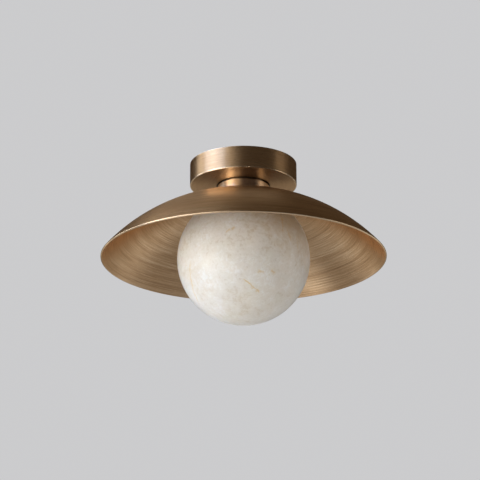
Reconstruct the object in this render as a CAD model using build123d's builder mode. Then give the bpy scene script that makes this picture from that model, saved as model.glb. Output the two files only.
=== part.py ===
from build123d import *
from math import cos, pi, sqrt
import os

# Flush ceiling light: a brushed brass canopy and collar, a shallow spun brass shade,
# and a hollow alabaster globe that screws onto a brass holder round a plug-in bulb.
# Millimetres, +Z up. The origin is on the ceiling, on the light's axis: the light hangs towards -Z.

# Canopy, the cup against the ceiling
canopy_radius = 61.0
canopy_height = 25.5
canopy_wall = 1.5
canopy_edge_radius = 0.9
canopy_mouth_radius = 0.4

# Collar between canopy and shade
collar_radius = 29.5
collar_height = 15.5
collar_wall = 2.5
collar_web = 3.0
collar_boss_radius = 27.0
collar_boss_height = 1.0
collar_edge_radius = 0.35

# Shade, a spun bowl with a flat land at its centre
shade_radius = 161.5
shade_curve_radius = 212.0
shade_land_radius = 30.5
shade_sheet = 2.0
shade_edge_radius = 0.6

# Globe holder, a flanged cup whose spigot takes the globe's ring
holder_flange_radius = 29.5
holder_flange_thickness = 1.6
holder_spigot_radius = 24.0
holder_spigot_wall = 2.0
holder_spigot_length = 13.5
holder_lead_in = 0.7

# Gasket between holder and globe ring
gasket_thickness = 1.4
gasket_width = 4.5

# Globe ring, bonded into the globe's neck
ring_wall = 2.0
ring_length = 12.0
ring_flange_radius = 31.0
ring_flange_thickness = 1.2

# Globe
globe_radius = 75.0
globe_wall = 9.0
globe_flat_radius = 35.0
globe_lip_radius = 1.2

# Threaded tube, its nuts, lock washer and end bushes
tube_radius = 5.0
tube_bore_radius = 3.9
tube_stand = 2.0
tube_chamfer = 0.5
nut_flats = 14.0
nut_height = 3.5
nut_chamfer = 0.5
lock_washer_radius = 8.6
lock_washer_thickness = 0.8
lock_tooth_count = 12
lock_tooth_depth = 1.4
lock_tooth_width = 1.2
bush_wall = 0.9
bush_length = 4.0
bush_flange_thickness = 0.8
bush_flange_width = 0.9

# Ceiling bracket, a strap with a slot each side and two tapped ears
bracket_width = 16.0
bracket_sheet = 2.0
bracket_bend_radius = 1.5
bracket_ear_length = 19.0
bracket_ear_corner = 3.0
slot_spacing = 80.0
slot_length = 22.0
slot_width = 5.2

# Side screws, headless with a hexagon socket
side_screw_radius = 2.0
side_screw_length = 8.0
side_screw_sink = 0.3
side_socket_flats = 2.0
side_socket_depth = 2.4
hexagon_sides = 6

# Earth screw and lug
earth_screw_x = -20.0
earth_screw_radius = 2.0
earth_head_radius = 3.8
earth_head_height = 2.2
driver_slot_width = 0.8
driver_slot_depth = 0.9
screw_end_gap = 0.2
lug_radius = 4.2
lug_thickness = 0.8
lug_barrel_wall = 0.6
lug_barrel_length = 5.0
lug_neck_width = 3.0

# Terminal block under the bracket
block_face_x = 11.0
block_length = 16.0
block_height = 12.0
pole_pitch = 11.0
pole_width = 9.4
pole_corner = 1.2
block_web_height = 7.0
insert_radius = 2.6
insert_bore_radius = 1.5
insert_length = 13.0
clamp_screw_radius = 1.25
clamp_screw_spacing = 7.0
clamp_screw_sink = 1.0
clamp_slot_width = 0.5
clamp_slot_depth = 0.7
block_screw_radius = 1.5
block_head_radius = 2.3
block_head_height = 1.6

# Leads inside the light
lead_radius = 1.1
lead_spread = 1.4
lead_rise_bend = 5.0
lead_entry_bend = 4.5
lead_entry_run = 3.0
lead_grip = 6.0
earth_entry_run = 3.0
earth_entry_bend = 4.5
earth_bend_reach = 6.0

# Socket bracket, a folded strap under the holder
saddle_sheet = 1.2
saddle_width = 12.0
saddle_leg_y = 9.8
saddle_height = 12.4
saddle_foot = 5.2
saddle_bend_radius = 0.8

# Lampholder with two spring contacts
lampholder_radius = 10.5
lampholder_height = 17.0
lampholder_chamfer = 0.8
lampholder_flat_x = 9.2
wire_hole_radius = 3.0
wire_hole_depth = 5.0
contact_sheet = 0.4
contact_width = 3.6
contact_length = 10.5
contact_tail_gap = 0.6
contact_roof = 3.3
socket_screw_y = 7.4
socket_screw_radius = 1.5
socket_head_radius = 2.6
socket_head_height = 2.0
socket_head_sink = 4.0

# Bulb with two looped pins
pin_spacing = 9.0
pin_radius = 0.5
pin_loop_radius = 1.25
pin_length = 10.8
bulb_neck_radius = 6.6
bulb_neck_height = 2.5
bulb_base_radius = 7.6
bulb_base_height = 9.0
bulb_cover_radius = 8.2
bulb_cover_wall = 1.0
bulb_cover_length = 37.0
bulb_cover_socket = 2.0
core_radius = 3.4
core_length = 30.0
core_sides = 6

# Clearances
thread_clearance = 0.05
running_clearance = 0.08
hole_clearance = 0.2
ear_clearance = 0.4
body_gap = 0.3

# Levels down the light's axis
canopy_floor_z = canopy_wall - canopy_height
collar_top_z = -canopy_height
shade_top_z = collar_top_z - collar_height
holder_top_z = shade_top_z - shade_sheet
holder_under_z = holder_top_z - holder_flange_thickness
spigot_end_z = holder_under_z - holder_spigot_length
gasket_under_z = holder_under_z - gasket_thickness
globe_top_z = gasket_under_z - ring_flange_thickness
globe_centre_z = globe_top_z - sqrt(globe_radius**2 - globe_flat_radius**2)
top_washer_z = canopy_floor_z + lock_washer_thickness
top_nut_z = top_washer_z + nut_height
tube_top_z = top_nut_z + tube_stand
saddle_under_z = holder_under_z - saddle_sheet
bottom_nut_z = saddle_under_z - nut_height
tube_bottom_z = bottom_nut_z - tube_stand
lampholder_top_z = holder_under_z - saddle_height
lampholder_bottom_z = lampholder_top_z - lampholder_height
bulb_top_z = lampholder_bottom_z - body_gap

# Sizes that follow from the ones above
canopy_inner_radius = canopy_radius - canopy_wall
tube_hole_radius = tube_radius + hole_clearance
ring_bore_radius = holder_spigot_radius + running_clearance
ring_radius = ring_bore_radius + ring_wall
globe_inner_radius = globe_radius - globe_wall
side_screw_z = -canopy_height / 2
ear_face_x = sqrt(canopy_inner_radius**2 - (bracket_width / 2) ** 2) - ear_clearance


# Canopy: a deep-drawn cup, open to the ceiling, with the tube's hole and two side holes
with BuildPart() as canopy:
    with BuildSketch(Plane.XZ) as canopy_profile:
        with BuildLine():
            Polyline(
                (tube_hole_radius, -canopy_height),
                (canopy_radius, -canopy_height),
                (canopy_radius, 0),
                (canopy_inner_radius, 0),
                (canopy_inner_radius, canopy_floor_z),
                (tube_hole_radius, canopy_floor_z),
                close=True,
            )
        make_face()
        outer_corners = canopy_profile.vertices().group_by(Axis.X)[-1].sort_by(Axis.Y)
        fillet(outer_corners[0], radius=canopy_edge_radius)
        fillet(outer_corners[-1], radius=canopy_mouth_radius)
    revolve(axis=Axis.Z)
    with BuildSketch(Plane.YZ):
        with Locations((0, side_screw_z)):
            Circle(side_screw_radius + hole_clearance)
    extrude(amount=canopy_radius, both=True, mode=Mode.SUBTRACT)
canopy.part.label = "canopy"
export_step(canopy.part, "parts/canopy.step")

# Collar: a turned ring, its web on top, a low boss that leaves a shadow gap under the canopy
with BuildPart() as collar:
    collar_web_z = collar_top_z - collar_boss_height
    with BuildSketch(Plane.XZ) as collar_profile:
        with BuildLine():
            Polyline(
                (tube_hole_radius, collar_top_z),
                (collar_boss_radius, collar_top_z),
                (collar_boss_radius, collar_web_z),
                (collar_radius, collar_web_z),
                (collar_radius, shade_top_z),
                (collar_radius - collar_wall, shade_top_z),
                (collar_radius - collar_wall, collar_top_z - collar_web),
                (tube_hole_radius, collar_top_z - collar_web),
                close=True,
            )
        make_face()
        outer_corners = collar_profile.vertices().group_by(Axis.X)[-1]
        fillet(outer_corners, radius=collar_edge_radius)
    revolve(axis=Axis.Z)
collar.part.label = "collar"
export_step(collar.part, "parts/collar.step")

# Shade: one sheet thickness between two concentric arcs, from a flat land to a squared rim
shade_curve_z = shade_top_z - sqrt(shade_curve_radius**2 - shade_land_radius**2)
shade_inner_curve = shade_curve_radius - shade_sheet
shade_inner_land_radius = sqrt(shade_inner_curve**2 - (holder_top_z - shade_curve_z) ** 2)
shade_rim_z = shade_curve_z + sqrt(shade_curve_radius**2 - shade_radius**2)
shade_rim_share = shade_inner_curve / shade_curve_radius
shade_inner_rim_radius = shade_radius * shade_rim_share
shade_inner_rim_z = shade_curve_z + (shade_rim_z - shade_curve_z) * shade_rim_share
with BuildPart() as shade:
    with BuildSketch(Plane.XZ) as shade_profile:
        with BuildLine():
            Line((tube_hole_radius, holder_top_z), (tube_hole_radius, shade_top_z))
            Line((tube_hole_radius, shade_top_z), (shade_land_radius, shade_top_z))
            RadiusArc(
                (shade_land_radius, shade_top_z), (shade_radius, shade_rim_z), shade_curve_radius
            )
            Line((shade_radius, shade_rim_z), (shade_inner_rim_radius, shade_inner_rim_z))
            RadiusArc(
                (shade_inner_rim_radius, shade_inner_rim_z),
                (shade_inner_land_radius, holder_top_z),
                -shade_inner_curve,
            )
            Line((shade_inner_land_radius, holder_top_z), (tube_hole_radius, holder_top_z))
        make_face()
        fillet(shade_profile.vertices().sort_by(Axis.X)[-2:], radius=shade_edge_radius)
    revolve(axis=Axis.Z)
shade.part.label = "shade"
export_step(shade.part, "parts/shade.step")

# Globe holder: a flange under the shade's land and a spigot that stands for the screw thread
with BuildPart() as globe_holder:
    with BuildSketch(Plane.XY.offset(holder_top_z)):
        Circle(holder_flange_radius)
    extrude(amount=-holder_flange_thickness)
    with BuildSketch(Plane.XY.offset(holder_under_z)):
        Circle(holder_spigot_radius)
        Circle(holder_spigot_radius - holder_spigot_wall, mode=Mode.SUBTRACT)
    extrude(amount=-holder_spigot_length)
    chamfer(globe_holder.edges().group_by(Axis.Z)[0].sort_by(SortBy.LENGTH)[-1], length=holder_lead_in)
    with BuildSketch(Plane.XY.offset(holder_top_z)):
        Circle(tube_hole_radius)
    extrude(amount=-holder_flange_thickness, mode=Mode.SUBTRACT)
globe_holder.part.label = "globe_holder"
export_step(globe_holder.part, "parts/globe_holder.step")

# Gasket: a flat silicone ring that beds the globe ring against the holder's flange
gasket_inner_radius = holder_spigot_radius + hole_clearance
with BuildPart() as globe_gasket:
    with BuildSketch(Plane.XY.offset(gasket_under_z)):
        Circle(gasket_inner_radius + gasket_width)
        Circle(gasket_inner_radius, mode=Mode.SUBTRACT)
    extrude(amount=gasket_thickness)
globe_gasket.part.label = "globe_gasket"
export_step(globe_gasket.part, "parts/globe_gasket.step")

# Globe ring: a flanged bush whose bore screws over the spigot and whose skirt lines the neck
with BuildPart() as globe_ring:
    with BuildSketch(Plane.XY.offset(gasket_under_z)):
        Circle(ring_flange_radius)
    extrude(amount=-ring_flange_thickness)
    with BuildSketch(Plane.XY.offset(globe_top_z)):
        Circle(ring_radius)
    extrude(amount=-ring_length)
    with BuildSketch(Plane.XY.offset(gasket_under_z)):
        Circle(ring_bore_radius)
    extrude(amount=-ring_flange_thickness - ring_length, mode=Mode.SUBTRACT)
globe_ring.part.label = "globe_ring"
export_step(globe_ring.part, "parts/globe_ring.step")

# Globe: a hollow stone sphere with a flat ground at its top and a bored neck
with BuildPart() as globe:
    neck_bottom_z = globe_centre_z + sqrt(globe_inner_radius**2 - ring_radius**2)
    with BuildSketch(Plane.XZ) as globe_profile:
        with BuildLine():
            ThreePointArc(
                (globe_flat_radius, globe_top_z),
                (globe_radius, globe_centre_z),
                (0, globe_centre_z - globe_radius),
            )
            Line((0, globe_centre_z - globe_radius), (0, globe_centre_z - globe_inner_radius))
            ThreePointArc(
                (0, globe_centre_z - globe_inner_radius),
                (globe_inner_radius, globe_centre_z),
                (ring_radius, neck_bottom_z),
            )
            Line((ring_radius, neck_bottom_z), (ring_radius, globe_top_z))
            Line((ring_radius, globe_top_z), (globe_flat_radius, globe_top_z))
        make_face()
        fillet(globe_profile.vertices().sort_by(Axis.Y)[-2:].sort_by(Axis.X)[-1], radius=globe_lip_radius)
    revolve(axis=Axis.Z)
globe.part.label = "globe"
export_step(globe.part, "parts/globe.step")

# Threaded tube: it clamps canopy, collar, shade and holder together and carries the leads
with BuildPart() as threaded_tube:
    with BuildSketch(Plane.XY.offset(tube_bottom_z)):
        Circle(tube_radius)
        Circle(tube_bore_radius, mode=Mode.SUBTRACT)
    extrude(amount=tube_top_z - tube_bottom_z)
    rims = threaded_tube.edges().filter_by(GeomType.CIRCLE).group_by(SortBy.RADIUS)[-1]
    chamfer(rims, length=tube_chamfer)
threaded_tube.part.label = "threaded_tube"
export_step(threaded_tube.part, "parts/threaded_tube.step")

# Tube nuts: one on the canopy's floor and one under the holder
nut_corner_radius = nut_flats / 2 / cos(pi / hexagon_sides)
with BuildPart() as tube_nuts:
    for nut_bottom_z in (top_washer_z, bottom_nut_z):
        with BuildSketch(Plane.XY.offset(nut_bottom_z)):
            RegularPolygon(nut_corner_radius, hexagon_sides)
            Circle(tube_radius + thread_clearance, mode=Mode.SUBTRACT)
        extrude(amount=nut_height)
    outer_rims = tube_nuts.edges().filter_by(GeomType.LINE).filter_by(Plane.XY)
    chamfer(outer_rims, length=nut_chamfer)
tube_nuts.part.label = "tube_nuts"
export_step(tube_nuts.part, "parts/tube_nuts.step")

# Lock washer: toothed round its edge, between the upper nut and the canopy's floor
with BuildPart() as lock_washer:
    with BuildSketch(Plane.XY.offset(canopy_floor_z)):
        Circle(lock_washer_radius - lock_tooth_depth)
        with PolarLocations(lock_washer_radius - lock_tooth_depth, lock_tooth_count):
            Rectangle(2 * lock_tooth_depth, lock_tooth_width)
        Circle(tube_hole_radius, mode=Mode.SUBTRACT)
    extrude(amount=lock_washer_thickness)
lock_washer.part.label = "lock_washer"
export_step(lock_washer.part, "parts/lock_washer.step")

# Tube bushes: insulating sleeves with a flange, one in each end of the tube
bush_radius = tube_bore_radius - thread_clearance
bush_inner_radius = bush_radius - bush_wall
with BuildPart() as tube_bushes:
    for end_z, outward in ((tube_top_z, 1), (tube_bottom_z, -1)):
        with BuildSketch(Plane.XY.offset(end_z)):
            Circle(tube_bore_radius + bush_flange_width)
            Circle(bush_inner_radius, mode=Mode.SUBTRACT)
        extrude(amount=outward * bush_flange_thickness)
        with BuildSketch(Plane.XY.offset(end_z)):
            Circle(bush_radius)
            Circle(bush_inner_radius, mode=Mode.SUBTRACT)
        extrude(amount=-outward * bush_length)
tube_bushes.part.label = "tube_bushes"
export_step(tube_bushes.part, "parts/tube_bushes.step")

# Ceiling bracket: a folded strap, slotted for the ceiling screws, with a tapped ear each side
block_centre_x = block_face_x + block_length / 2
block_screw_places = [(block_centre_x, -pole_pitch / 2), (block_centre_x, pole_pitch / 2)]
with BuildPart() as ceiling_bracket:
    with BuildSketch(Plane.XZ) as strap_profile:
        with Locations((0, -bracket_ear_length / 2)):
            Rectangle(2 * ear_face_x, bracket_ear_length)
        fillet(strap_profile.vertices().group_by(Axis.Y)[-1], radius=bracket_bend_radius + bracket_sheet)
    extrude(amount=bracket_width / 2, both=True)
    with BuildSketch(Plane.XZ) as strap_hollow:
        with Locations((0, -bracket_sheet - bracket_ear_length / 2)):
            Rectangle(2 * (ear_face_x - bracket_sheet), bracket_ear_length)
        fillet(strap_hollow.vertices().group_by(Axis.Y)[-1], radius=bracket_bend_radius)
    extrude(amount=bracket_width / 2, both=True, mode=Mode.SUBTRACT)
    ear_corners = ceiling_bracket.edges().filter_by(Axis.X).group_by(Axis.Z)[0]
    chamfer(ear_corners, length=bracket_ear_corner)
    with BuildSketch(Plane.XY):
        with GridLocations(slot_spacing, 0, 2, 1):
            SlotOverall(slot_length, slot_width)
        with Locations((earth_screw_x, 0)):
            Circle(earth_screw_radius + thread_clearance)
        with Locations(*block_screw_places):
            Circle(block_screw_radius + thread_clearance)
    extrude(amount=-bracket_sheet, mode=Mode.SUBTRACT)
    with BuildSketch(Plane.YZ):
        with Locations((0, side_screw_z)):
            Circle(side_screw_radius + thread_clearance)
    extrude(amount=ear_face_x, both=True, mode=Mode.SUBTRACT)
ceiling_bracket.part.label = "ceiling_bracket"
export_step(ceiling_bracket.part, "parts/ceiling_bracket.step")

# Side screws: one each side, sunk just under the canopy's surface, with a hexagon socket
side_screw_face_x = canopy_radius - side_screw_sink
with BuildPart() as side_screws:
    for side in (1, -1):
        face_plane = Plane(origin=(side * side_screw_face_x, 0, side_screw_z), z_dir=(side, 0, 0))
        with BuildSketch(face_plane):
            Circle(side_screw_radius)
        extrude(amount=-side_screw_length)
        with BuildSketch(face_plane):
            RegularPolygon(side_socket_flats / 2, hexagon_sides, major_radius=False)
        extrude(amount=-side_socket_depth, mode=Mode.SUBTRACT)
side_screws.part.label = "side_screws"
export_step(side_screws.part, "parts/side_screws.step")

# Earth lug: a ring under the strap with a crimped barrel that points at the terminal block
strap_under_z = -bracket_sheet
lug_under_z = strap_under_z - lug_thickness
lug_barrel_radius = lead_radius + thread_clearance + lug_barrel_wall
lug_barrel_z = strap_under_z - lug_barrel_radius
lug_barrel_x = earth_screw_x + lug_radius + lug_barrel_wall
with BuildPart() as earth_lug:
    with BuildSketch(Plane.XY.offset(strap_under_z)):
        with Locations((earth_screw_x, 0)):
            Circle(lug_radius)
        with Locations(((earth_screw_x + lug_barrel_x) / 2, 0)):
            Rectangle(lug_barrel_x - earth_screw_x, lug_neck_width)
        with Locations((earth_screw_x, 0)):
            Circle(earth_screw_radius + thread_clearance, mode=Mode.SUBTRACT)
    extrude(amount=-lug_thickness)
    with BuildSketch(Plane.YZ.offset(lug_barrel_x)):
        with Locations((0, lug_barrel_z)):
            Circle(lug_barrel_radius)
            Circle(lead_radius + thread_clearance, mode=Mode.SUBTRACT)
    extrude(amount=lug_barrel_length)
earth_lug.part.label = "earth_lug"
export_step(earth_lug.part, "parts/earth_lug.step")

# Earth screw: a slotted cylinder head under the lug, its shank in the strap
with BuildPart() as earth_screw:
    with BuildSketch(Plane.XY.offset(lug_under_z)):
        with Locations((earth_screw_x, 0)):
            Circle(earth_head_radius)
    extrude(amount=-earth_head_height)
    with BuildSketch(Plane.XY.offset(lug_under_z)):
        with Locations((earth_screw_x, 0)):
            Circle(earth_screw_radius)
    extrude(amount=-lug_under_z - screw_end_gap)
    with BuildSketch(Plane.XY.offset(lug_under_z - earth_head_height)):
        with Locations((earth_screw_x, 0)):
            Rectangle(2 * earth_head_radius, driver_slot_width)
    extrude(amount=driver_slot_depth, mode=Mode.SUBTRACT)
earth_screw.part.label = "earth_screw"
export_step(earth_screw.part, "parts/earth_screw.step")

# Terminal block: three barrels joined by a web, hung under the strap
block_bottom_z = strap_under_z - block_height
terminal_z = strap_under_z - block_height / 2
insert_start_x = block_centre_x - insert_length / 2
pole_ys = (-pole_pitch, 0, pole_pitch)
clamp_xs = (block_centre_x - clamp_screw_spacing / 2, block_centre_x + clamp_screw_spacing / 2)
clamp_places = [(x, y) for x in clamp_xs for y in pole_ys]
block_web_bottom_z = strap_under_z - block_web_height
with BuildPart() as terminal_block:
    with BuildSketch(Plane.YZ.offset(block_face_x)):
        with Locations(*[(y, terminal_z) for y in pole_ys]):
            RectangleRounded(pole_width, block_height, pole_corner)
        with Locations((0, (strap_under_z + block_web_bottom_z) / 2)):
            Rectangle(2 * pole_pitch, block_web_height)
        with Locations(*[(y, terminal_z) for y in pole_ys]):
            Circle(insert_radius + thread_clearance, mode=Mode.SUBTRACT)
    extrude(amount=block_length)
    with BuildSketch(Plane.XY.offset(terminal_z)):
        with Locations(*clamp_places):
            Circle(clamp_screw_radius + hole_clearance)
    extrude(amount=block_bottom_z - terminal_z, mode=Mode.SUBTRACT)
    with BuildSketch(Plane.XY.offset(strap_under_z)):
        with Locations(*block_screw_places):
            Circle(block_screw_radius + hole_clearance)
    extrude(amount=-block_height, mode=Mode.SUBTRACT)
    with BuildSketch(Plane.XY.offset(block_web_bottom_z)):
        with Locations(*block_screw_places):
            Circle(block_head_radius + hole_clearance)
    extrude(amount=block_bottom_z - block_web_bottom_z, mode=Mode.SUBTRACT)
terminal_block.part.label = "terminal_block"
export_step(terminal_block.part, "parts/terminal_block.step")

# Terminal inserts: a brass barrel in each pole, with two tapped holes
with BuildPart() as terminal_inserts:
    with BuildSketch(Plane.YZ.offset(insert_start_x)):
        with Locations(*[(y, terminal_z) for y in pole_ys]):
            Circle(insert_radius)
            Circle(insert_bore_radius, mode=Mode.SUBTRACT)
    extrude(amount=insert_length)
    with BuildSketch(Plane.XY.offset(terminal_z)):
        with Locations(*clamp_places):
            Circle(clamp_screw_radius + thread_clearance)
    extrude(amount=-insert_radius, mode=Mode.SUBTRACT)
terminal_inserts.part.label = "terminal_inserts"
export_step(terminal_inserts.part, "parts/terminal_inserts.step")

# Clamp screws: headless slotted screws, two for each pole, tips against the leads
clamp_tip_z = terminal_z - lead_radius - thread_clearance
clamp_end_z = block_bottom_z + clamp_screw_sink
with BuildPart() as clamp_screws:
    with BuildSketch(Plane.XY.offset(clamp_end_z)):
        with Locations(*clamp_places):
            Circle(clamp_screw_radius)
    extrude(amount=clamp_tip_z - clamp_end_z)
    with BuildSketch(Plane.XY.offset(clamp_end_z)):
        with Locations(*clamp_places):
            Rectangle(2 * clamp_screw_radius, clamp_slot_width)
    extrude(amount=clamp_slot_depth, mode=Mode.SUBTRACT)
clamp_screws.part.label = "clamp_screws"
export_step(clamp_screws.part, "parts/clamp_screws.step")

# Block screws: they hold the terminal block's web to the strap
with BuildPart() as block_screws:
    with BuildSketch(Plane.XY.offset(block_web_bottom_z)):
        with Locations(*block_screw_places):
            Circle(block_head_radius)
    extrude(amount=-block_head_height)
    with BuildSketch(Plane.XY.offset(block_web_bottom_z)):
        with Locations(*block_screw_places):
            Circle(block_screw_radius)
    extrude(amount=-block_web_bottom_z - screw_end_gap)
    with BuildSketch(Plane.XY.offset(block_web_bottom_z - block_head_height)):
        with Locations(*block_screw_places):
            Rectangle(2 * block_head_radius, driver_slot_width)
    extrude(amount=driver_slot_depth, mode=Mode.SUBTRACT)
block_screws.part.label = "block_screws"
export_step(block_screws.part, "parts/block_screws.step")

# Socket bracket: a strap folded into a saddle, clamped under the holder, feet turned inwards
socket_screw_places = [(0, socket_screw_y), (0, -socket_screw_y)]
with BuildPart() as socket_bracket:
    with BuildSketch(Plane.YZ) as saddle_profile:
        saddle_outer_y = saddle_leg_y + saddle_sheet
        with Locations((0, holder_under_z - saddle_height / 2)):
            Rectangle(2 * saddle_outer_y, saddle_height)
        fillet(saddle_profile.vertices(), radius=saddle_bend_radius + saddle_sheet)
        with Locations((0, holder_under_z - saddle_height / 2)):
            RectangleRounded(
                2 * saddle_leg_y,
                saddle_height - 2 * saddle_sheet,
                saddle_bend_radius,
                mode=Mode.SUBTRACT,
            )
        with Locations((0, lampholder_top_z + saddle_sheet / 2)):
            Rectangle(2 * (saddle_leg_y - saddle_foot), 2 * saddle_sheet, mode=Mode.SUBTRACT)
    extrude(amount=saddle_width / 2, both=True)
    with BuildSketch(Plane.XY.offset(holder_under_z)):
        Circle(tube_hole_radius)
    extrude(amount=-saddle_sheet, mode=Mode.SUBTRACT)
    with BuildSketch(Plane.XY.offset(lampholder_top_z)):
        with Locations(*socket_screw_places):
            Circle(socket_screw_radius + thread_clearance)
    extrude(amount=saddle_sheet, mode=Mode.SUBTRACT)
socket_bracket.part.label = "socket_bracket"
export_step(socket_bracket.part, "parts/socket_bracket.step")

# Lampholder: a ceramic body with two pin pockets below and a wire hole above
contact_leaf_x = pin_radius + thread_clearance
contact_outer_x = contact_leaf_x + contact_sheet
contact_top_z = lampholder_top_z - contact_roof
contact_under_z = contact_top_z - contact_sheet
pocket_half_x = contact_outer_x + thread_clearance
pocket_width = contact_width + 2 * thread_clearance
pocket_top_z = contact_top_z + thread_clearance
with BuildPart() as lampholder:
    with BuildSketch(Plane.XY.offset(lampholder_bottom_z)):
        Circle(lampholder_radius)
        Rectangle(2 * lampholder_flat_x, 2 * lampholder_radius, mode=Mode.INTERSECT)
    extrude(amount=lampholder_height)
    chamfer(lampholder.edges().group_by(Axis.Z)[0], length=lampholder_chamfer)
    with BuildSketch(Plane.XY.offset(lampholder_bottom_z)):
        with GridLocations(pin_spacing, 0, 2, 1):
            Rectangle(2 * pocket_half_x, pocket_width)
    extrude(amount=pocket_top_z - lampholder_bottom_z, mode=Mode.SUBTRACT)
    with BuildSketch(Plane.XY.offset(lampholder_top_z)):
        Circle(wire_hole_radius)
    extrude(amount=-wire_hole_depth, mode=Mode.SUBTRACT)
    with BuildSketch(Plane.XY.offset(pocket_top_z)):
        Rectangle(pin_spacing, pocket_width)
    extrude(amount=-contact_sheet - 2 * thread_clearance, mode=Mode.SUBTRACT)
    with BuildSketch(Plane.XY.offset(lampholder_bottom_z)):
        with Locations(*socket_screw_places):
            Circle(socket_screw_radius + hole_clearance)
    extrude(amount=lampholder_height, mode=Mode.SUBTRACT)
    with BuildSketch(Plane.XY.offset(lampholder_bottom_z)):
        with Locations(*socket_screw_places):
            Circle(socket_head_radius + hole_clearance)
    extrude(amount=socket_head_sink, mode=Mode.SUBTRACT)
lampholder.part.label = "lampholder"
export_step(lampholder.part, "parts/lampholder.step")

# Lampholder contacts: a spring clip round each pin, with a tail that meets its lead
with BuildPart() as lampholder_contacts:
    with BuildSketch(Plane.XZ):
        for side in (1, -1):
            pin_x = side * pin_spacing / 2
            leaf_x = contact_leaf_x + contact_sheet / 2
            with Locations(
                (pin_x - leaf_x, contact_top_z - contact_length / 2),
                (pin_x + leaf_x, contact_top_z - contact_length / 2),
            ):
                Rectangle(contact_sheet, contact_length)
            tail_reach = pin_spacing / 2 + contact_outer_x - contact_tail_gap
            with Locations((side * (contact_tail_gap + tail_reach / 2), contact_top_z - contact_sheet / 2)):
                Rectangle(tail_reach, contact_sheet)
    extrude(amount=contact_width / 2, both=True)
lampholder_contacts.part.label = "lampholder_contacts"
export_step(lampholder_contacts.part, "parts/lampholder_contacts.step")

# Socket screws: up through the lampholder into the bracket's feet
socket_head_z = lampholder_bottom_z + socket_head_sink
with BuildPart() as socket_screws:
    with BuildSketch(Plane.XY.offset(socket_head_z)):
        with Locations(*socket_screw_places):
            Circle(socket_head_radius)
    extrude(amount=-socket_head_height)
    with BuildSketch(Plane.XY.offset(socket_head_z)):
        with Locations(*socket_screw_places):
            Circle(socket_screw_radius)
    extrude(amount=lampholder_top_z + saddle_sheet - socket_head_z)
    with BuildSketch(Plane.XY.offset(socket_head_z - socket_head_height)):
        with Locations(*socket_screw_places):
            Rectangle(driver_slot_width, 2 * socket_head_radius)
    extrude(amount=driver_slot_depth, mode=Mode.SUBTRACT)
socket_screws.part.label = "socket_screws"
export_step(socket_screws.part, "parts/socket_screws.step")

# Live and neutral leads: from the contacts, up the tube, over to their poles of the block
lead_bottom_z = contact_top_z + thread_clearance
lead_end_x = block_face_x + lead_grip
lead_turn_x = block_face_x - lead_entry_run


def supply_lead_points(side):
    return [
        (side * lead_spread, 0, lead_bottom_z),
        (side * lead_spread, 0, terminal_z),
        (lead_turn_x, side * pole_pitch, terminal_z),
        (lead_end_x, side * pole_pitch, terminal_z),
    ]


with BuildPart() as live_lead:
    with BuildLine() as live_route:
        FilletPolyline(*supply_lead_points(1), radius=[lead_rise_bend, lead_entry_bend])
    with BuildSketch(Plane.XY.offset(lead_bottom_z)):
        with Locations((lead_spread, 0)):
            Circle(lead_radius)
    sweep(path=live_route.wires()[0])
live_lead.part.label = "live_lead"
export_step(live_lead.part, "parts/live_lead.step")

with BuildPart() as neutral_lead:
    with BuildLine() as neutral_route:
        FilletPolyline(*supply_lead_points(-1), radius=[lead_rise_bend, lead_entry_bend])
    with BuildSketch(Plane.XY.offset(lead_bottom_z)):
        with Locations((-lead_spread, 0)):
            Circle(lead_radius)
    sweep(path=neutral_route.wires()[0])
neutral_lead.part.label = "neutral_lead"
export_step(neutral_lead.part, "parts/neutral_lead.step")

# Earth lead: from the block's middle pole, close under the strap, to the lug's barrel
earth_turn_x = block_face_x - earth_entry_run
earth_points = [
    (lead_end_x, 0, terminal_z),
    (earth_turn_x, 0, terminal_z),
    (earth_turn_x - earth_bend_reach, 0, lug_barrel_z),
    (lug_barrel_x, 0, lug_barrel_z),
]
with BuildPart() as earth_lead:
    with BuildLine() as earth_route:
        FilletPolyline(*earth_points, radius=earth_entry_bend)
    with BuildSketch(Plane.YZ.offset(lead_end_x)):
        with Locations((0, terminal_z)):
            Circle(lead_radius)
    sweep(path=earth_route.wires()[0])
earth_lead.part.label = "earth_lead"
export_step(earth_lead.part, "parts/earth_lead.step")

# Bulb base: a moulded plug with a neck above and a shoulder that carries the cover
bulb_neck_z = bulb_top_z - bulb_neck_height
bulb_base_end_z = bulb_top_z - bulb_base_height
cover_inner_radius = bulb_cover_radius - bulb_cover_wall
with BuildPart() as bulb_base:
    with BuildSketch(Plane.XZ):
        with BuildLine():
            Polyline(
                (0, bulb_top_z),
                (bulb_neck_radius, bulb_top_z),
                (bulb_base_radius, bulb_neck_z),
                (bulb_cover_radius, bulb_base_end_z),
                (cover_inner_radius - thread_clearance, bulb_base_end_z),
                (cover_inner_radius - thread_clearance, bulb_base_end_z - bulb_cover_socket),
                (0, bulb_base_end_z - bulb_cover_socket),
                close=True,
            )
        make_face()
    revolve(axis=Axis.Z)
bulb_base.part.label = "bulb_base"
export_step(bulb_base.part, "parts/bulb_base.step")

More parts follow.
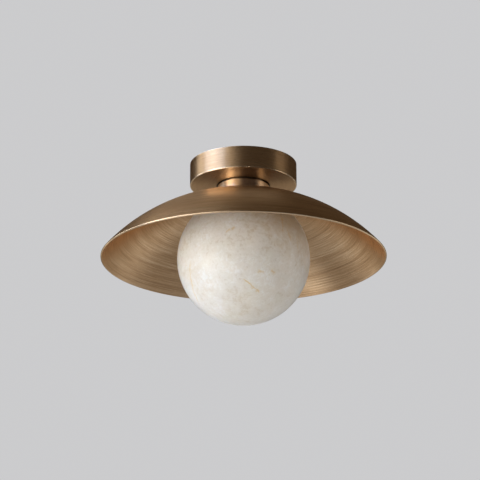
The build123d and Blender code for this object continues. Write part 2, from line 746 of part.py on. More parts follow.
# Bulb pins: two round wire loops
with BuildPart() as bulb_pins:
    for side in (1, -1):
        pin_x = side * pin_spacing / 2
        loop_centre_z = bulb_top_z + pin_length - pin_radius - pin_loop_radius
        with BuildLine() as pin_route:
            Line((pin_x, pin_loop_radius, bulb_top_z), (pin_x, pin_loop_radius, loop_centre_z))
            ThreePointArc(
                (pin_x, pin_loop_radius, loop_centre_z),
                (pin_x, 0, loop_centre_z + pin_loop_radius),
                (pin_x, -pin_loop_radius, loop_centre_z),
            )
            Line((pin_x, -pin_loop_radius, loop_centre_z), (pin_x, -pin_loop_radius, bulb_top_z))
        with BuildSketch(Plane.XY.offset(bulb_top_z)):
            with Locations((pin_x, pin_loop_radius)):
                Circle(pin_radius)
        sweep(path=pin_route.wires()[0])
bulb_pins.part.label = "bulb_pins"
export_step(bulb_pins.part, "parts/bulb_pins.step")

# Bulb core: a many-sided column that carries the light chips
core_top_z = bulb_base_end_z - bulb_cover_socket
with BuildPart() as bulb_core:
    with BuildSketch(Plane.XY.offset(core_top_z)):
        RegularPolygon(core_radius, core_sides)
    extrude(amount=-core_length)
bulb_core.part.label = "bulb_core"
export_step(bulb_core.part, "parts/bulb_core.step")

# Bulb cover: a frosted sleeve with a domed end
cover_dome_z = bulb_base_end_z - bulb_cover_length + bulb_cover_radius
with BuildPart() as bulb_cover:
    with BuildSketch(Plane.XZ):
        with BuildLine():
            Line((bulb_cover_radius, bulb_base_end_z), (bulb_cover_radius, cover_dome_z))
            RadiusArc(
                (bulb_cover_radius, cover_dome_z),
                (0, cover_dome_z - bulb_cover_radius),
                bulb_cover_radius,
            )
            Line((0, cover_dome_z - bulb_cover_radius), (0, cover_dome_z - cover_inner_radius))
            RadiusArc(
                (0, cover_dome_z - cover_inner_radius),
                (cover_inner_radius, cover_dome_z),
                -cover_inner_radius,
            )
            Line((cover_inner_radius, cover_dome_z), (cover_inner_radius, bulb_base_end_z))
            Line((cover_inner_radius, bulb_base_end_z), (bulb_cover_radius, bulb_base_end_z))
        make_face()
    revolve(axis=Axis.Z)
bulb_cover.part.label = "bulb_cover"
export_step(bulb_cover.part, "parts/bulb_cover.step")
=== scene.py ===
# Looks of the ceiling light: camera, studio, materials and the tube's real screw thread.
# Metres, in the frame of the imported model: +Z up, origin on the ceiling, the light hangs to -Z.
import math

import bmesh
import bpy
from mathutils import Matrix, Vector


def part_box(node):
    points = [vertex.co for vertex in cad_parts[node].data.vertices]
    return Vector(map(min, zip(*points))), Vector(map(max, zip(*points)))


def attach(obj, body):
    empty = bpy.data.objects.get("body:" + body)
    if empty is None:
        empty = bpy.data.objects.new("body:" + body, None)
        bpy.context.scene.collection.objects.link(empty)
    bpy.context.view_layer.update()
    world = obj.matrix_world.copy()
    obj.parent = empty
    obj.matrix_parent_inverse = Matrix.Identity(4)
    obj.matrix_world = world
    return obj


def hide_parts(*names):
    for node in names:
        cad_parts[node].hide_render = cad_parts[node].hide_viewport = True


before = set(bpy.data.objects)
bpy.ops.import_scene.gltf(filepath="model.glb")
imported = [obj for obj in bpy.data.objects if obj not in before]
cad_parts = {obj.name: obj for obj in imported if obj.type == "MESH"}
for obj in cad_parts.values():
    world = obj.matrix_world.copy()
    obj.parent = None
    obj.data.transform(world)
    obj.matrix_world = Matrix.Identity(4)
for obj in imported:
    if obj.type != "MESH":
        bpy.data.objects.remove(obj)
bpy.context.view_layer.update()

# Camera, as fitted to the photograph: angles in radians, lens and sensor in millimetres
camera_distance = 2.155
camera_below = 0.3293
camera_aim = Vector((-0.0040, 0.0, -0.0906))
camera_roll = -0.0026
camera_lens = 142.7
sensor_width = 36.0

# Globe: its centre, and its ochre veins as start, end, width, fade and strength
globe_centre = Vector((0.0, 0.0, -0.11353))
vein_colour = (0.74, 0.52, 0.19, 1)
veins = (
    ((0.0013, -0.0607, -0.1575), (0.0156, -0.0504, -0.1669), 0.0017, 0.003, 1.0),
    ((0.0160, -0.0640, -0.1492), (0.0210, -0.0625, -0.1492), 0.0018, 0.002, 0.9),
    ((0.0305, -0.0594, -0.1470), (0.0335, -0.0578, -0.1484), 0.0024, 0.002, 1.0),
    ((-0.0593, -0.0412, -0.1337), (-0.0520, -0.0158, -0.1652), 0.0016, 0.006, 0.75),
    ((-0.0185, -0.0722, -0.1062), (-0.0160, -0.0728, -0.1030), 0.0018, 0.002, 0.8),
    ((-0.0126, -0.0730, -0.1026), (-0.0106, -0.0733, -0.1010), 0.0018, 0.002, 0.8),
    ((0.0415, -0.0532, -0.0808), (0.0434, -0.0595, -0.0994), 0.0014, 0.004, 0.8),
    ((0.0490, -0.0560, -0.0990), (0.0512, -0.0540, -0.1080), 0.0016, 0.004, 0.6),
    ((0.0590, -0.0460, -0.1060), (0.0602, -0.0448, -0.1180), 0.0014, 0.005, 0.6),
)

# Warm patches: middle, reach and strength. The first two lie under the shade's rim and are
# painted shade and warm light bounced from the brass, the fourth, low on the right, is painted
# shade, and the others are the stone's own. The reach is on a globe of radius 1, full_patch is
# the share of it at full strength, and patch_ragged roughens the border.
patch_colour = (0.66, 0.53, 0.33, 1)
full_patch = 0.25
patch_ragged = 0.9
stone_and_shade_patches = (
    ((0.0500, -0.0380, -0.0700), 0.85, 0.60),
    ((0.0100, -0.0560, -0.0640), 0.50, 0.22),
    ((-0.0560, -0.0380, -0.1480), 0.35, 0.25),
    ((0.0300, -0.0250, -0.1700), 0.95, 0.16),
    ((0.0200, 0.0600, -0.1300), 0.60, 0.40),
    ((-0.0600, 0.0400, -0.0950), 0.40, 0.30),
)

# The stone's tones, the milky lines between its crystals, and how far its clouds are bent
stone_tones = (
    (0.41, (0.76, 0.69, 0.59)),
    (0.46, (0.84, 0.79, 0.715)),
    (0.52, (0.865, 0.815, 0.74)),
    (0.59, (0.93, 0.90, 0.85)),
)
crack_colour = (0.95, 0.94, 0.92, 1)
cloud_bend = (0.024, 0.024, 0.024)
vein_wander = 0.004

# Brushing of the brass round the light's axis, as hairs, streaks and bands: rate across them,
# scale along them, detail, roughness and share. A turn is a circle of this radius in the noise.
brushing_radius = 1.5
brushing = (
    (3600.0, 1.9, 3.0, 0.70, 0.30),
    (1050.0, 1.3, 4.0, 0.72, 0.55),
    (90.0, 0.7, 2.0, 0.50, 0.15),
)
# Edges: one lighter colour that is both wear and a painted highlight, and how much less rough
# they are
wear_and_highlight_brass = (0.88, 0.70, 0.48, 1)
worn_gloss = 0.85
# Near-black painted shade for the gap at a joint
gap_shade_colour = (0.012, 0.007, 0.004, 1)

# Tints of the metals at a grazing angle
brass_edge = (1.0, 0.80, 0.58, 1)
white_metal_edge = (1.0, 0.98, 0.96, 1)
warm_metal_edge = (1.0, 0.84, 0.66, 1)

# Threaded tube, as in the CAD
tube_radius = 0.005
tube_bore = 0.0039
tube_chamfer = 0.0005

# Its thread: the crest is flat over a part of each turn and slopes off on both sides
thread_pitch = 0.001
thread_depth = 0.00045
thread_slope = 2.6
thread_flat = 0.2
thread_sides = 60
rows_per_turn = 8

# Studio: a pale background, a floor that fades into it, and a dim dome over the light
background = (0.60, 0.60, 0.61, 1)
floor_z = -2.4
floor_size = 60.0
floor_colour = (0.73, 0.73, 0.72, 1)
fade_start = 0.5
fade_end = 6.0
fade_least = 0.3
dome_radius = 5.0
dome_low = -0.7
dome_tint = (1.0, 0.78, 0.56)
dome_tones = ((0.0, 0.01), (0.3, 0.05), (0.6, 0.075), (0.85, 0.09))

# Lamps round the light, all at one distance: azimuth, elevation, size, radiance and colour.
# Angles are in degrees; azimuth 0 is the camera's side, positive to its right.
studio_centre = Vector((0.0, 0.0, -0.09))
lamp_distance = 2.2
white = (1.0, 1.0, 1.0)
lamps = {
    "key": (-62, -14, (1.4, 1.1), 5.0, (1.0, 1.0, 0.98)),
    "left_top": (-85, 42, (1.4, 0.9), 4.2, white),
    "left_strip": (-64, 17, (1.9, 0.45), 2.4, (0.84, 1.22, 2.2)),
    "left_back": (-103, 8, (0.7, 0.7), 4.2, (0.96, 1.05, 1.2)),
    "front_top": (-45, 50, (1.2, 1.0), 3.2, white),
    "front_left": (-32, -26, (0.9, 1.0), 2.4, (1.02, 0.97, 0.9)),
    "right": (84, -2, (1.0, 0.9), 1.5, (1.05, 0.93, 0.8)),
    "back_right": (145, -28, (1.0, 0.8), 0.3, white),
    "back_left": (-148, -20, (1.0, 0.5), 0.3, white),
    "left_low": (-92, -56, (0.8, 0.6), 0.7, white),
    "back_top": (-178, 56, (0.7, 0.4), 0.5, white),
}


class Nodes:
    """A small helper that adds and links shader nodes."""

    def __init__(self, tree):
        self.tree = tree
        tree.nodes.clear()

    def add(self, kind, settings=None, inputs=None):
        node = self.tree.nodes.new(kind)
        for key, value in (settings or {}).items():
            setattr(node, key, value)
        for key, value in (inputs or {}).items():
            self.put(node, key, value)
        return node

    def put(self, node, key, value):
        """Link another node's output to an input, or write a plain value there."""
        socket = node.inputs[key]
        if isinstance(value, bpy.types.NodeSocket):
            self.tree.links.new(value, socket)
        else:
            socket.default_value = value

    def place(self):
        return self.add("ShaderNodeTexCoord").outputs["Object"]

    def axes(self, vector):
        return self.add("ShaderNodeSeparateXYZ", inputs={0: vector}).outputs

    def math(self, operation, *values):
        inputs = dict(enumerate(values))
        return self.add("ShaderNodeMath", {"operation": operation}, inputs).outputs[0]

    def plus(self, a, b):
        return self.math("ADD", a, b)

    def minus(self, a, b):
        return self.math("SUBTRACT", a, b)

    def times(self, a, b):
        return self.math("MULTIPLY", a, b)

    def absolute(self, value):
        return self.math("ABSOLUTE", value)

    def weigh(self, *parts):
        """The sum of some values, each times its share."""
        total = None
        for value, share in parts:
            part = self.times(value, share)
            total = part if total is None else self.plus(total, part)
        return total

    def vector(self, operation, *values, scale=None):
        """Vector maths; a length, a distance and a dot product come out as one number."""
        node = self.add("ShaderNodeVectorMath", {"operation": operation}, dict(enumerate(values)))
        if scale is not None:
            self.put(node, "Scale", scale)
        single = operation in ("LENGTH", "DISTANCE", "DOT_PRODUCT")
        return node.outputs["Value" if single else "Vector"]

    def noise(
        self, vector, scale, detail=2.0, rough=0.5, distortion=0.0, w=None, output="Fac"
    ):
        settings = {"noise_dimensions": "3D" if w is None else "4D"}
        inputs = {
            "Vector": vector, "Scale": scale, "Detail": detail, "Roughness": rough,
            "Distortion": distortion,
        }
        if w is not None:
            inputs["W"] = w
        return self.add("ShaderNodeTexNoise", settings, inputs).outputs[output]

    def cells(self, vector, scale, output):
        inputs = {"Vector": vector, "Scale": scale}
        return self.add("ShaderNodeTexVoronoi", inputs=inputs).outputs[output]

    def ramp(self, value, stops):
        """Colours along a value, from stops that each have a place and a colour."""
        node = self.add("ShaderNodeValToRGB")
        elements = node.color_ramp.elements
        while len(elements) < len(stops):
            elements.new(0.5)
        for element, (place, colour) in zip(elements, stops):
            element.position = place
            element.color = (*colour, 1.0)
        self.put(node, 0, value)
        return node.outputs["Color"]

    def span(self, value, low, high, to_low, to_high):
        """The value carried from low..high to to_low..to_high, and held at the ends."""
        inputs = {0: value, 1: low, 2: high, 3: to_low, 4: to_high}
        return self.add("ShaderNodeMapRange", {"clamp": True}, inputs).outputs[0]

    def mix(self, factor, a, b):
        """Colour a where the factor is 0 and colour b where it is 1."""
        node = self.add("ShaderNodeMix", {"data_type": "RGBA"}, {0: factor, 6: a, 7: b})
        return node.outputs[2]

    def bump(self, height, distance, strength):
        inputs = {"Height": height, "Distance": distance, "Strength": strength}
        return self.add("ShaderNodeBump", inputs=inputs).outputs[0]

    def glow(self, colour):
        return self.add("ShaderNodeEmission", inputs={"Color": colour, "Strength": 1.0})

    def principled(self, inputs):
        return self.add("ShaderNodeBsdfPrincipled", inputs=inputs)

    def close(self, shader):
        """Make the shader the material's surface."""
        self.add("ShaderNodeOutputMaterial", inputs={"Surface": shader.outputs[0]})


def new_material(name):
    material = bpy.data.materials.new(name + "_finish")
    material.use_nodes = True
    return material, Nodes(material.node_tree)


def new_object(name, data):
    thing = bpy.data.objects.new(name, data)
    bpy.context.scene.collection.objects.link(thing)
    return thing


def facing(place, aim):
    """The turn that points an object's -Z axis from its place to its aim."""
    return (Vector(aim) - Vector(place)).to_track_quat("-Z", "Y")


def around(azimuth, elevation, distance):
    """A place round the light, with both angles as for the lamps."""
    turn, tilt = math.radians(azimuth), math.radians(elevation)
    level = math.cos(tilt)
    way = Vector((math.sin(turn) * level, -math.cos(turn) * level, math.sin(tilt)))
    return studio_centre + way * distance


def add_camera():
    back = Vector((0.0, -math.cos(camera_below), -math.sin(camera_below)))
    data = bpy.data.cameras.new("camera")
    data.lens = camera_lens
    data.sensor_width = sensor_width
    camera = new_object("camera", data)
    place = Matrix.Translation(camera_aim + back * camera_distance)
    turn = (-back).to_track_quat("-Z", "Y").to_matrix().to_4x4()
    camera.matrix_world = place @ turn @ Matrix.Rotation(camera_roll, 4, "Z")
    bpy.context.scene.camera = camera


def add_floor():
    """A plain pale floor that takes the object's shadow and fades into the background."""
    bpy.ops.mesh.primitive_plane_add(size=floor_size, location=(0, 0, floor_z))
    floor = bpy.context.object
    floor.name = "studio_floor"
    material, nodes = new_material("studio_floor")
    away = nodes.vector("LENGTH", nodes.place())
    fade = nodes.span(away, fade_start, fade_end, fade_least, 1.0)
    near = nodes.principled({"Base Color": floor_colour, "Roughness": 0.9})
    far = nodes.glow(background)
    both = {0: fade, 1: near.outputs[0], 2: far.outputs[0]}
    nodes.close(nodes.add("ShaderNodeMixShader", inputs=both))
    floor.data.materials.append(material)


def add_dome():
    """The studio's dim upper half, which the camera does not see."""
    mesh = bpy.data.meshes.new("studio_dome")
    form = bmesh.new()
    bmesh.ops.create_uvsphere(form, u_segments=48, v_segments=24, radius=dome_radius)
    low = [point for point in form.verts if point.co.z < dome_low]
    bmesh.ops.delete(form, geom=low, context="VERTS")
    form.to_mesh(mesh)
    form.free()
    dome = new_object("studio_dome", mesh)
    dome.visible_camera = False
    dome.visible_shadow = False
    material, nodes = new_material("studio_dome")
    level = nodes.math("DIVIDE", nodes.axes(nodes.place())["Z"], dome_radius)
    stops = [(place, [part * tone for part in dome_tint]) for place, tone in dome_tones]
    nodes.close(nodes.glow(nodes.ramp(level, stops)))
    mesh.materials.append(material)


def add_card(name, size, place, aim, tone):
    """A plain studio card that only reflections see."""
    bpy.ops.mesh.primitive_plane_add(size=1.0, location=place)
    card = bpy.context.object
    card.name = name
    card.scale = (*size, 1)
    card.rotation_mode = "QUATERNION"
    card.rotation_quaternion = facing(place, aim)
    card.visible_camera = False
    card.visible_diffuse = False
    card.visible_shadow = False
    card.visible_transmission = False
    material, nodes = new_material(name)
    nodes.close(nodes.glow((*tone, 1)))
    card.data.materials.append(material)


def add_lamp(name, azimuth, elevation, size, radiance, colour):
    data = bpy.data.lights.new(name, "AREA")
    data.shape = "RECTANGLE"
    data.size, data.size_y = size
    data.energy = radiance * math.pi * size[0] * size[1]
    data.color = colour
    lamp = new_object(name, data)
    lamp.location = around(azimuth, elevation, lamp_distance)
    lamp.rotation_mode = "QUATERNION"
    lamp.rotation_quaternion = facing(lamp.location, studio_centre)


def add_world():
    world = bpy.data.worlds.new("studio")
    bpy.context.scene.world = world
    world.use_nodes = True
    nodes = Nodes(world.node_tree)
    sky = nodes.add("ShaderNodeBackground", inputs={"Color": background, "Strength": 1.0})
    nodes.add("ShaderNodeOutputWorld", inputs={"Surface": sky.outputs[0]})


def near_ring(nodes, radius, z, ring, core):
    """1 near a ring round the light's axis, and 0 beyond its reach.

    The ring is given by its radius, height and reach, and core is the share of the reach at 1.
    """
    ring_radius, ring_z, reach = ring
    out = nodes.minus(radius, ring_radius)
    up = nodes.minus(z, ring_z)
    away = nodes.math("SQRT", nodes.plus(nodes.times(out, out), nodes.times(up, up)))
    return nodes.span(away, reach, reach * core, 0.0, 1.0)


def brushed_brass(
    name, base, dark, light, contrast, roughness,
    edges=(), wear_and_highlight=1.0, gap_shade=None, relief=0.0002, lacquer=0.15,
):
    """Satin brass brushed round the light's axis: fine rings, longer streaks, a cloudy tone.

    The edges are lighter and smoother, rubbed by handling and lit by a painted highlight, and
    shade is painted dark into a joint's gap: each is a ring given by its radius, its height
    and how far it reaches.
    """
    material, nodes = new_material(name)
    place = nodes.place()
    x, y, z = nodes.axes(place)
    flat = nodes.add("ShaderNodeCombineXYZ", inputs={0: x, 1: y, 2: 0.0}).outputs[0]
    radius = nodes.vector("LENGTH", flat)
    turn = nodes.vector("SCALE", nodes.vector("NORMALIZE", flat), scale=brushing_radius)
    depth = nodes.minus(radius, z)
    lines = nodes.weigh(*(
        (nodes.noise(turn, scale, detail, rough, w=nodes.times(depth, rate)), share)
        for rate, scale, detail, rough, share in brushing
    ))
    tone = nodes.span(lines, 0.5 - contrast, 0.5 + contrast, 0.0, 1.0)
    colour = nodes.ramp(tone, ((0.0, dark), (0.5, base), (1.0, light)))
    cloud = nodes.noise(place, scale=14.0, detail=3.0)
    colour = nodes.mix(nodes.span(cloud, 0.35, 0.65, 0.0, 0.2), colour, (*dark, 1))
    rough = nodes.span(lines, 0.35, 0.65, roughness + 0.07, roughness - 0.07)
    # Edges: wear and a painted highlight in one lighter colour, and less rough
    for edge in edges:
        wear_and_highlight_mask = nodes.times(near_ring(nodes, radius, z, edge, core=0.6), wear_and_highlight)
        colour = nodes.mix(wear_and_highlight_mask, colour, wear_and_highlight_brass)
        rough = nodes.times(rough, nodes.span(wear_and_highlight_mask, 0.0, 1.0, 1.0, worn_gloss))
    # Painted shade: near-black in a joint's gap and on the surface beside it
    if gap_shade:
        gap_shade_mask = near_ring(nodes, radius, z, gap_shade, core=0.7)
        colour = nodes.mix(gap_shade_mask, colour, gap_shade_colour)
    tangent = nodes.add("ShaderNodeTangent", {"direction_type": "RADIAL", "axis": "Z"})
    nodes.close(nodes.principled({
        "Base Color": colour,
        "Metallic": 1.0,
        "Roughness": rough,
        "Specular Tint": brass_edge,
        "Anisotropic": 0.7,
        "Anisotropic Rotation": 0.25,
        "Coat Weight": lacquer,
        "Coat Roughness": 0.3,
        "Tangent": tangent.outputs[0],
        "Normal": nodes.bump(lines, distance=relief, strength=0.7),
    }))
    return material


def worn_metal(name, base, dark, light, roughness, edge, drawn):
    """A small metal part: mottled plating, flakes, and scratches stretched as it was drawn."""
    material, nodes = new_material(name)
    place = nodes.place()
    stretched = nodes.vector("MULTIPLY", place, drawn)
    scratches = nodes.noise(stretched, scale=900.0, detail=4.0, rough=0.75)
    mottle = nodes.noise(place, scale=190.0, detail=4.0, rough=0.6, distortion=0.3)
    flake = nodes.axes(nodes.cells(place, scale=650.0, output="Color"))["X"]
    tone = nodes.weigh((mottle, 0.5), (scratches, 0.3), (flake, 0.2))
    relief = nodes.plus(scratches, mottle)
    nodes.close(nodes.principled({
        "Base Color": nodes.ramp(tone, ((0.34, dark), (0.50, base), (0.66, light))),
        "Metallic": 1.0,
        "Roughness": nodes.span(tone, 0.35, 0.65, roughness + 0.1, roughness - 0.06),
        "Specular Tint": edge,
        "Normal": nodes.bump(relief, distance=0.00005, strength=0.5),
    }))
    return material


def moulded(name, base, dark, light, roughness, grain, relief, soft=0.0, coat=0.0):
    """A moulded or fired part: faint flow marks, small specks and a fine surface grain."""
    material, nodes = new_material(name)
    place = nodes.place()
    flow = nodes.noise(place, scale=90.0, detail=3.0, rough=0.55, distortion=0.8)
    fine = nodes.noise(place, scale=grain, detail=3.0, rough=0.6)
    tone = nodes.weigh((flow, 0.6), (fine, 0.4))
    colour = nodes.ramp(tone, ((0.36, dark), (0.50, base), (0.64, light)))
    away = nodes.cells(place, scale=420.0, output="Distance")
    speck = nodes.span(away, 0.10, 0.04, 0.0, 0.35)
    nodes.close(nodes.principled({
        "Base Color": nodes.mix(speck, colour, (*dark, 1)),
        "Roughness": nodes.span(fine, 0.3, 0.7, roughness - 0.06, roughness + 0.08),
        "Subsurface Weight": soft,
        "Subsurface Radius": (0.002, 0.0018, 0.0015),
        "Subsurface Scale": 1.0,
        "Coat Weight": coat,
        "Coat Roughness": 0.08,
        "Normal": nodes.bump(fine, distance=relief, strength=0.5),
    }))
    return material


def sheath(name, base, dark, stripe=None):
    """A lead's soft plastic sheath with a faint drawn grain, and slanting bands of a stripe."""
    bands_per_metre = 190.0
    band_slope = 1.6
    material, nodes = new_material(name)
    place = nodes.place()
    grain = nodes.noise(place, scale=1500.0, detail=3.0, rough=0.6)
    smear = nodes.noise(place, scale=160.0, detail=3.0, rough=0.6)
    colour = nodes.ramp(smear, ((0.35, dark), (0.65, base)))
    if stripe:
        axes = nodes.axes(place)
        slant = nodes.plus(axes["X"], nodes.times(axes["Y"], band_slope))
        phase = nodes.math("FRACT", nodes.times(nodes.plus(slant, 1.0), bands_per_metre))
        begins = nodes.span(phase, 0.0, 0.04, 0.0, 1.0)
        ends = nodes.span(phase, 0.42, 0.46, 1.0, 0.0)
        colour = nodes.mix(nodes.times(begins, ends), colour, (*stripe, 1))
    nodes.close(nodes.principled({
        "Base Color": colour,
        "Roughness": nodes.span(grain, 0.3, 0.7, 0.34, 0.5),
        "Normal": nodes.bump(grain, distance=0.00003, strength=0.5),
    }))
    return material


def frosted(name):
    """The bulb's cover: thin satin plastic, clear enough to show its core as a soft shape."""
    material, nodes = new_material(name)
    place = nodes.place()
    grain = nodes.noise(place, scale=1800.0, detail=3.0, rough=0.6)
    cloud = nodes.noise(place, scale=140.0, detail=3.0)
    colour = nodes.ramp(cloud, ((0.35, (0.88, 0.89, 0.88)), (0.65, (0.95, 0.95, 0.94))))
    nodes.close(nodes.principled({
        "Base Color": colour,
        "Roughness": nodes.span(grain, 0.3, 0.7, 0.32, 0.46),
        "Transmission Weight": 0.75,
        "IOR": 1.49,
        "Normal": nodes.bump(grain, distance=0.00004, strength=0.6),
    }))
    return material


def chip_board(name):
    """The bulb's core: white ceramic with rows of small yellow phosphor dots."""
    rows_per_metre = 330.0
    dots_from_middle = 0.0012
    material, nodes = new_material(name)
    place = nodes.place()
    x, y, z = nodes.axes(place)
    row = nodes.math("FRACT", nodes.times(nodes.plus(z, 1.0), rows_per_metre))
    along = nodes.absolute(nodes.plus(row, -0.5))
    across = nodes.absolute(nodes.plus(nodes.absolute(nodes.plus(x, y)), -dots_from_middle))
    dot = nodes.times(
        nodes.span(along, 0.26, 0.30, 1.0, 0.0), nodes.span(across, 0.0007, 0.0008, 1.0, 0.0)
    )
    speck = nodes.noise(place, scale=900.0, detail=4.0, rough=0.6)
    board = nodes.ramp(speck, ((0.35, (0.74, 0.73, 0.70)), (0.65, (0.86, 0.86, 0.84))))
    phosphor = nodes.ramp(speck, ((0.35, (0.80, 0.60, 0.12)), (0.65, (0.90, 0.74, 0.22))))
    nodes.close(nodes.principled({
        "Base Color": nodes.mix(dot, board, phosphor),
        "Roughness": nodes.span(dot, 0.0, 1.0, 0.5, 0.3),
        "Normal": nodes.bump(nodes.plus(speck, dot), distance=0.0001, strength=0.5),
    }))
    return material


def vein(nodes, place, offset, warp, wobble, start, end, width, fade):
    """A thin vein: a warped plane through the globe's centre, kept between two points."""
    start, end = Vector(start), Vector(end)
    normal = (start - globe_centre).cross(end - globe_centre).normalized()
    side = nodes.plus(nodes.vector("DOT_PRODUCT", offset, normal), warp)
    line = nodes.span(nodes.times(nodes.absolute(side), wobble), width, 0.0, 0.0, 1.0)
    away = nodes.vector("DISTANCE", place, (start + end) / 2)
    half = (end - start).length / 2
    return nodes.times(line, nodes.span(away, half + fade, half, 0.0, 1.0))


def alabaster(name):
    """Honed white alabaster: cloudy cream body, fine flecks, warm patches and ochre veins."""
    material, nodes = new_material(name)
    place = nodes.place()
    drift = nodes.noise(place, scale=30.0, detail=3.0, output="Color")
    bent = nodes.vector("MULTIPLY_ADD", drift, cloud_bend, place)
    cloud = nodes.noise(bent, scale=22.0, detail=6.0, rough=0.66)
    mottle = nodes.noise(bent, scale=110.0, detail=4.0, rough=0.68)
    fleck = nodes.noise(place, scale=330.0, detail=4.0, rough=0.7)
    grain = nodes.noise(place, scale=900.0, detail=3.0, rough=0.6)
    tone = nodes.weigh((cloud, 0.32), (mottle, 0.34), (fleck, 0.34))
    colour = nodes.ramp(tone, stone_tones)

    # Milky lines where a noise crosses its middle, in the paler clouds only
    crossing = nodes.minus(nodes.noise(bent, scale=95.0, detail=4.0, rough=0.65), 0.5)
    crack = nodes.span(nodes.absolute(crossing), 0.03, 0.0, 0.0, 1.0)
    crack = nodes.times(crack, nodes.span(cloud, 0.45, 0.58, 0.0, 0.75))
    colour = nodes.mix(crack, colour, crack_colour)

    # Warm patches with ragged borders: the stone's own, and painted shade and bounce light
    offset = nodes.vector("SUBTRACT", place, globe_centre)
    outward = nodes.vector("NORMALIZE", offset)
    ragged = nodes.times(nodes.minus(mottle, 0.5), patch_ragged)
    for middle, reach, strength in stone_and_shade_patches:
        way = (Vector(middle) - globe_centre).normalized()
        away = nodes.plus(nodes.vector("DISTANCE", outward, way), ragged)
        patch = nodes.span(away, reach, reach * full_patch, 0.0, strength)
        colour = nodes.mix(patch, colour, patch_colour)

    # Veins that wander, swell and thin, and break up at the flecks
    swerve = nodes.noise(place, scale=150.0, detail=3.0, rough=0.6)
    warp = nodes.times(nodes.minus(swerve, 0.5), vein_wander)
    wobble = nodes.span(nodes.noise(place, scale=240.0), 0.35, 0.65, 0.45, 2.0)
    total = None
    for *course, strength in veins:
        one = nodes.times(vein(nodes, place, offset, warp, wobble, *course), strength)
        total = one if total is None else nodes.math("MAXIMUM", total, one)
    broken = nodes.times(total, nodes.span(fleck, 0.38, 0.58, 0.3, 1.0))
    colour = nodes.mix(broken, colour, vein_colour)

    nodes.close(nodes.principled({
        "Base Color": colour,
        "Roughness": nodes.span(mottle, 0.3, 0.7, 0.40, 0.52),
        "Subsurface Weight": 0.35,
        "Subsurface Radius": (0.014, 0.011, 0.008),
        "Subsurface Scale": 1.0,
        "Sheen Weight": 0.7,
        "Sheen Roughness": 0.2,
        "Sheen Tint": (1.0, 0.97, 0.92, 1),
        "Coat Weight": 0.35,
        "Coat Roughness": 0.22,
        "Normal": nodes.bump(grain, distance=0.0001, strength=0.3),
    }))
    return material


def thread_reach(phase, end):
    """How far the thread stands out, by its phase in a turn and the way to the tube's end."""
    fall = min(1.0, max(0.0, abs(phase - 0.5) * thread_slope - thread_flat))
    return min(tube_radius - thread_depth * fall, tube_radius - tube_chamfer + end)


def add_ring(form, z, reaches):
    """A ring of points at one height, from their distances to the axis."""
    points = []
    for step, reach in enumerate(reaches):
        turn = 2 * math.pi * step / thread_sides
        points.append(form.verts.new((reach * math.cos(turn), reach * math.sin(turn), z)))
    return points


def join_rings(form, lower, upper):
    for k in range(thread_sides):
        form.faces.new((lower[k], lower[k - 1], upper[k - 1], upper[k]))


def add_thread(name, node, body, finish):
    """The tube with a real screw thread over its whole length, in place of its plain solid."""
    low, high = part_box(node)
    low, high = low[2], high[2]
    rows = round((high - low) / thread_pitch * rows_per_turn)
    form = bmesh.new()
    rings = []
    for row in range(rows + 1):
        z = low + (high - low) * row / rows
        end = min(z - low, high - z)
        rings.append(add_ring(form, z, [
            thread_reach((z / thread_pitch - step / thread_sides) % 1.0, end)
            for step in range(thread_sides)
        ]))
    bore = [add_ring(form, z, [tube_bore] * thread_sides) for z in (low, high)]
    for lower, upper in zip(rings, rings[1:]):
        join_rings(form, lower, upper)
    join_rings(form, bore[1], bore[0])
    join_rings(form, bore[0], rings[0])
    join_rings(form, rings[-1], bore[1])
    bmesh.ops.recalc_face_normals(form, faces=form.faces)
    mesh = bpy.data.meshes.new(name)
    form.to_mesh(mesh)
    form.free()
    mesh.materials.append(finish)
    piece = new_object(name, mesh)
    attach(piece, body)
    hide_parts(node)


add_camera()
add_floor()
add_dome()
add_world()
add_card("back_card", (4.4, 1.5), (0.2, 2.5, -0.85), (0, 0, -0.03), (0.36, 0.355, 0.35))
add_card("left_flag", (0.6, 0.9), around(-122, -41, 2.5), studio_centre, (0.21, 0.18, 0.14))
add_card("right_flag", (0.5, 0.9), around(122, -49, 2.5), studio_centre, (0.23, 0.20, 0.16))
add_card("front_flag", (2.8, 1.0), around(30, -22, 2.0), studio_centre, (0.03, 0.012, 0.004))
for name, values in lamps.items():
    add_lamp(name, *values)

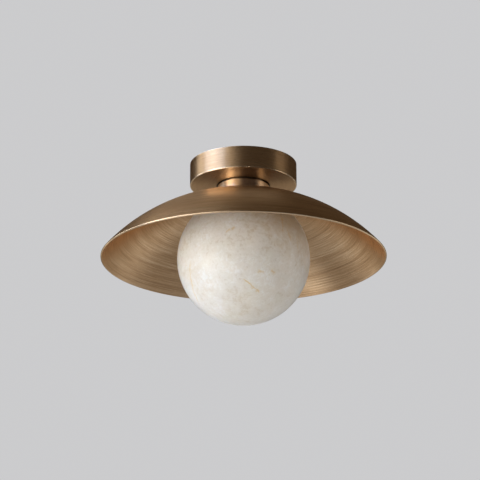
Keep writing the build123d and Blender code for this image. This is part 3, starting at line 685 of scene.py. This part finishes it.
# One finish for each packed slot
finishes = {
    "satin_brass": brushed_brass(
        "satin_brass",
        base=(0.57, 0.37, 0.205), dark=(0.28, 0.165, 0.082), light=(0.86, 0.66, 0.44),
        # The shade's rim is lighter: wear and a painted highlight
        contrast=0.105, roughness=0.31, edges=((0.1611, -0.1140, 0.0013),), wear_and_highlight=0.6,
    ),
    "plain_brass": brushed_brass(
        "plain_brass",
        base=(0.60, 0.40, 0.21), dark=(0.40, 0.25, 0.12), light=(0.78, 0.57, 0.34),
        contrast=0.2, roughness=0.24,
    ),
    "alabaster": alabaster("alabaster"),
    "zinc_steel": worn_metal(
        "zinc_steel",
        base=(0.60, 0.61, 0.63), dark=(0.44, 0.45, 0.47), light=(0.74, 0.75, 0.76),
        roughness=0.34, edge=white_metal_edge, drawn=(1.0, 1.0, 0.15),
    ),
    "spring_bronze": worn_metal(
        "spring_bronze",
        base=(0.66, 0.46, 0.22), dark=(0.46, 0.29, 0.12), light=(0.82, 0.63, 0.36),
        roughness=0.28, edge=warm_metal_edge, drawn=(0.15, 1.0, 1.0),
    ),
    "silicone": moulded(
        "silicone",
        base=(0.74, 0.73, 0.70), dark=(0.64, 0.62, 0.58), light=(0.80, 0.79, 0.77),
        roughness=0.58, grain=1200.0, relief=0.00004, soft=0.3,
    ),
    "white_ceramic": moulded(
        "white_ceramic",
        base=(0.80, 0.79, 0.75), dark=(0.66, 0.63, 0.57), light=(0.86, 0.85, 0.82),
        roughness=0.36, grain=700.0, relief=0.00003, coat=0.5,
    ),
    "white_plastic": moulded(
        "white_plastic",
        base=(0.76, 0.75, 0.71), dark=(0.66, 0.65, 0.60), light=(0.82, 0.81, 0.78),
        roughness=0.46, grain=1500.0, relief=0.00004, soft=0.1,
    ),
    "frosted_glass": frosted("frosted_glass"),
    "chip_ceramic": chip_board("chip_ceramic"),
    "brown_sheath": sheath(
        "brown_sheath", base=(0.16, 0.065, 0.03), dark=(0.09, 0.035, 0.017)
    ),
    "blue_sheath": sheath("blue_sheath", base=(0.03, 0.16, 0.50), dark=(0.02, 0.10, 0.34)),
    "green_sheath": sheath(
        "green_sheath",
        base=(0.04, 0.30, 0.06), dark=(0.02, 0.18, 0.035), stripe=(0.75, 0.62, 0.05),
    ),
}

# Two turned parts are brushed less boldly than the shade, and lacquered. The collar's brass is
# paler than the rest as painted light, standing in for lamp light falling straight on it.
turned = {
    "canopy": brushed_brass(
        "canopy_brass",
        base=(0.60, 0.395, 0.215), dark=(0.40, 0.24, 0.12), light=(0.80, 0.60, 0.39),
        contrast=0.20, roughness=0.31,
        # Lower and top edges: wear and a painted highlight
        edges=((0.061, -0.0255, 0.0018), (0.061, 0.0, 0.0008)), wear_and_highlight=0.7,
        # Painted shade on the underside round the collar's gap
        gap_shade=(0.0292, -0.0265, 0.0022), relief=0.00015, lacquer=0.35,
    ),
    "collar": brushed_brass(
        "collar_brass_painted_light",
        base=(0.74, 0.62, 0.47), dark=(0.53, 0.42, 0.31), light=(0.92, 0.82, 0.66),
        # Lower edge: wear and a painted highlight
        contrast=0.16, roughness=0.30, edges=((0.0295, -0.0410, 0.0010),),
        # Painted shade in the gap under the canopy and on the wall below it
        gap_shade=(0.0295, -0.0255, 0.0019), relief=0.00015, lacquer=0.6,
    ),
}
for name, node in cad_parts.items():
    finish = finishes[node.data.materials[0].name]
    node.data.materials.clear()
    node.data.materials.append(turned.get(name, finish))

add_thread("tube_thread", "threaded_tube", "fixed_light", finishes["zinc_steel"])

bpy.context.scene.view_settings.view_transform = "Standard"
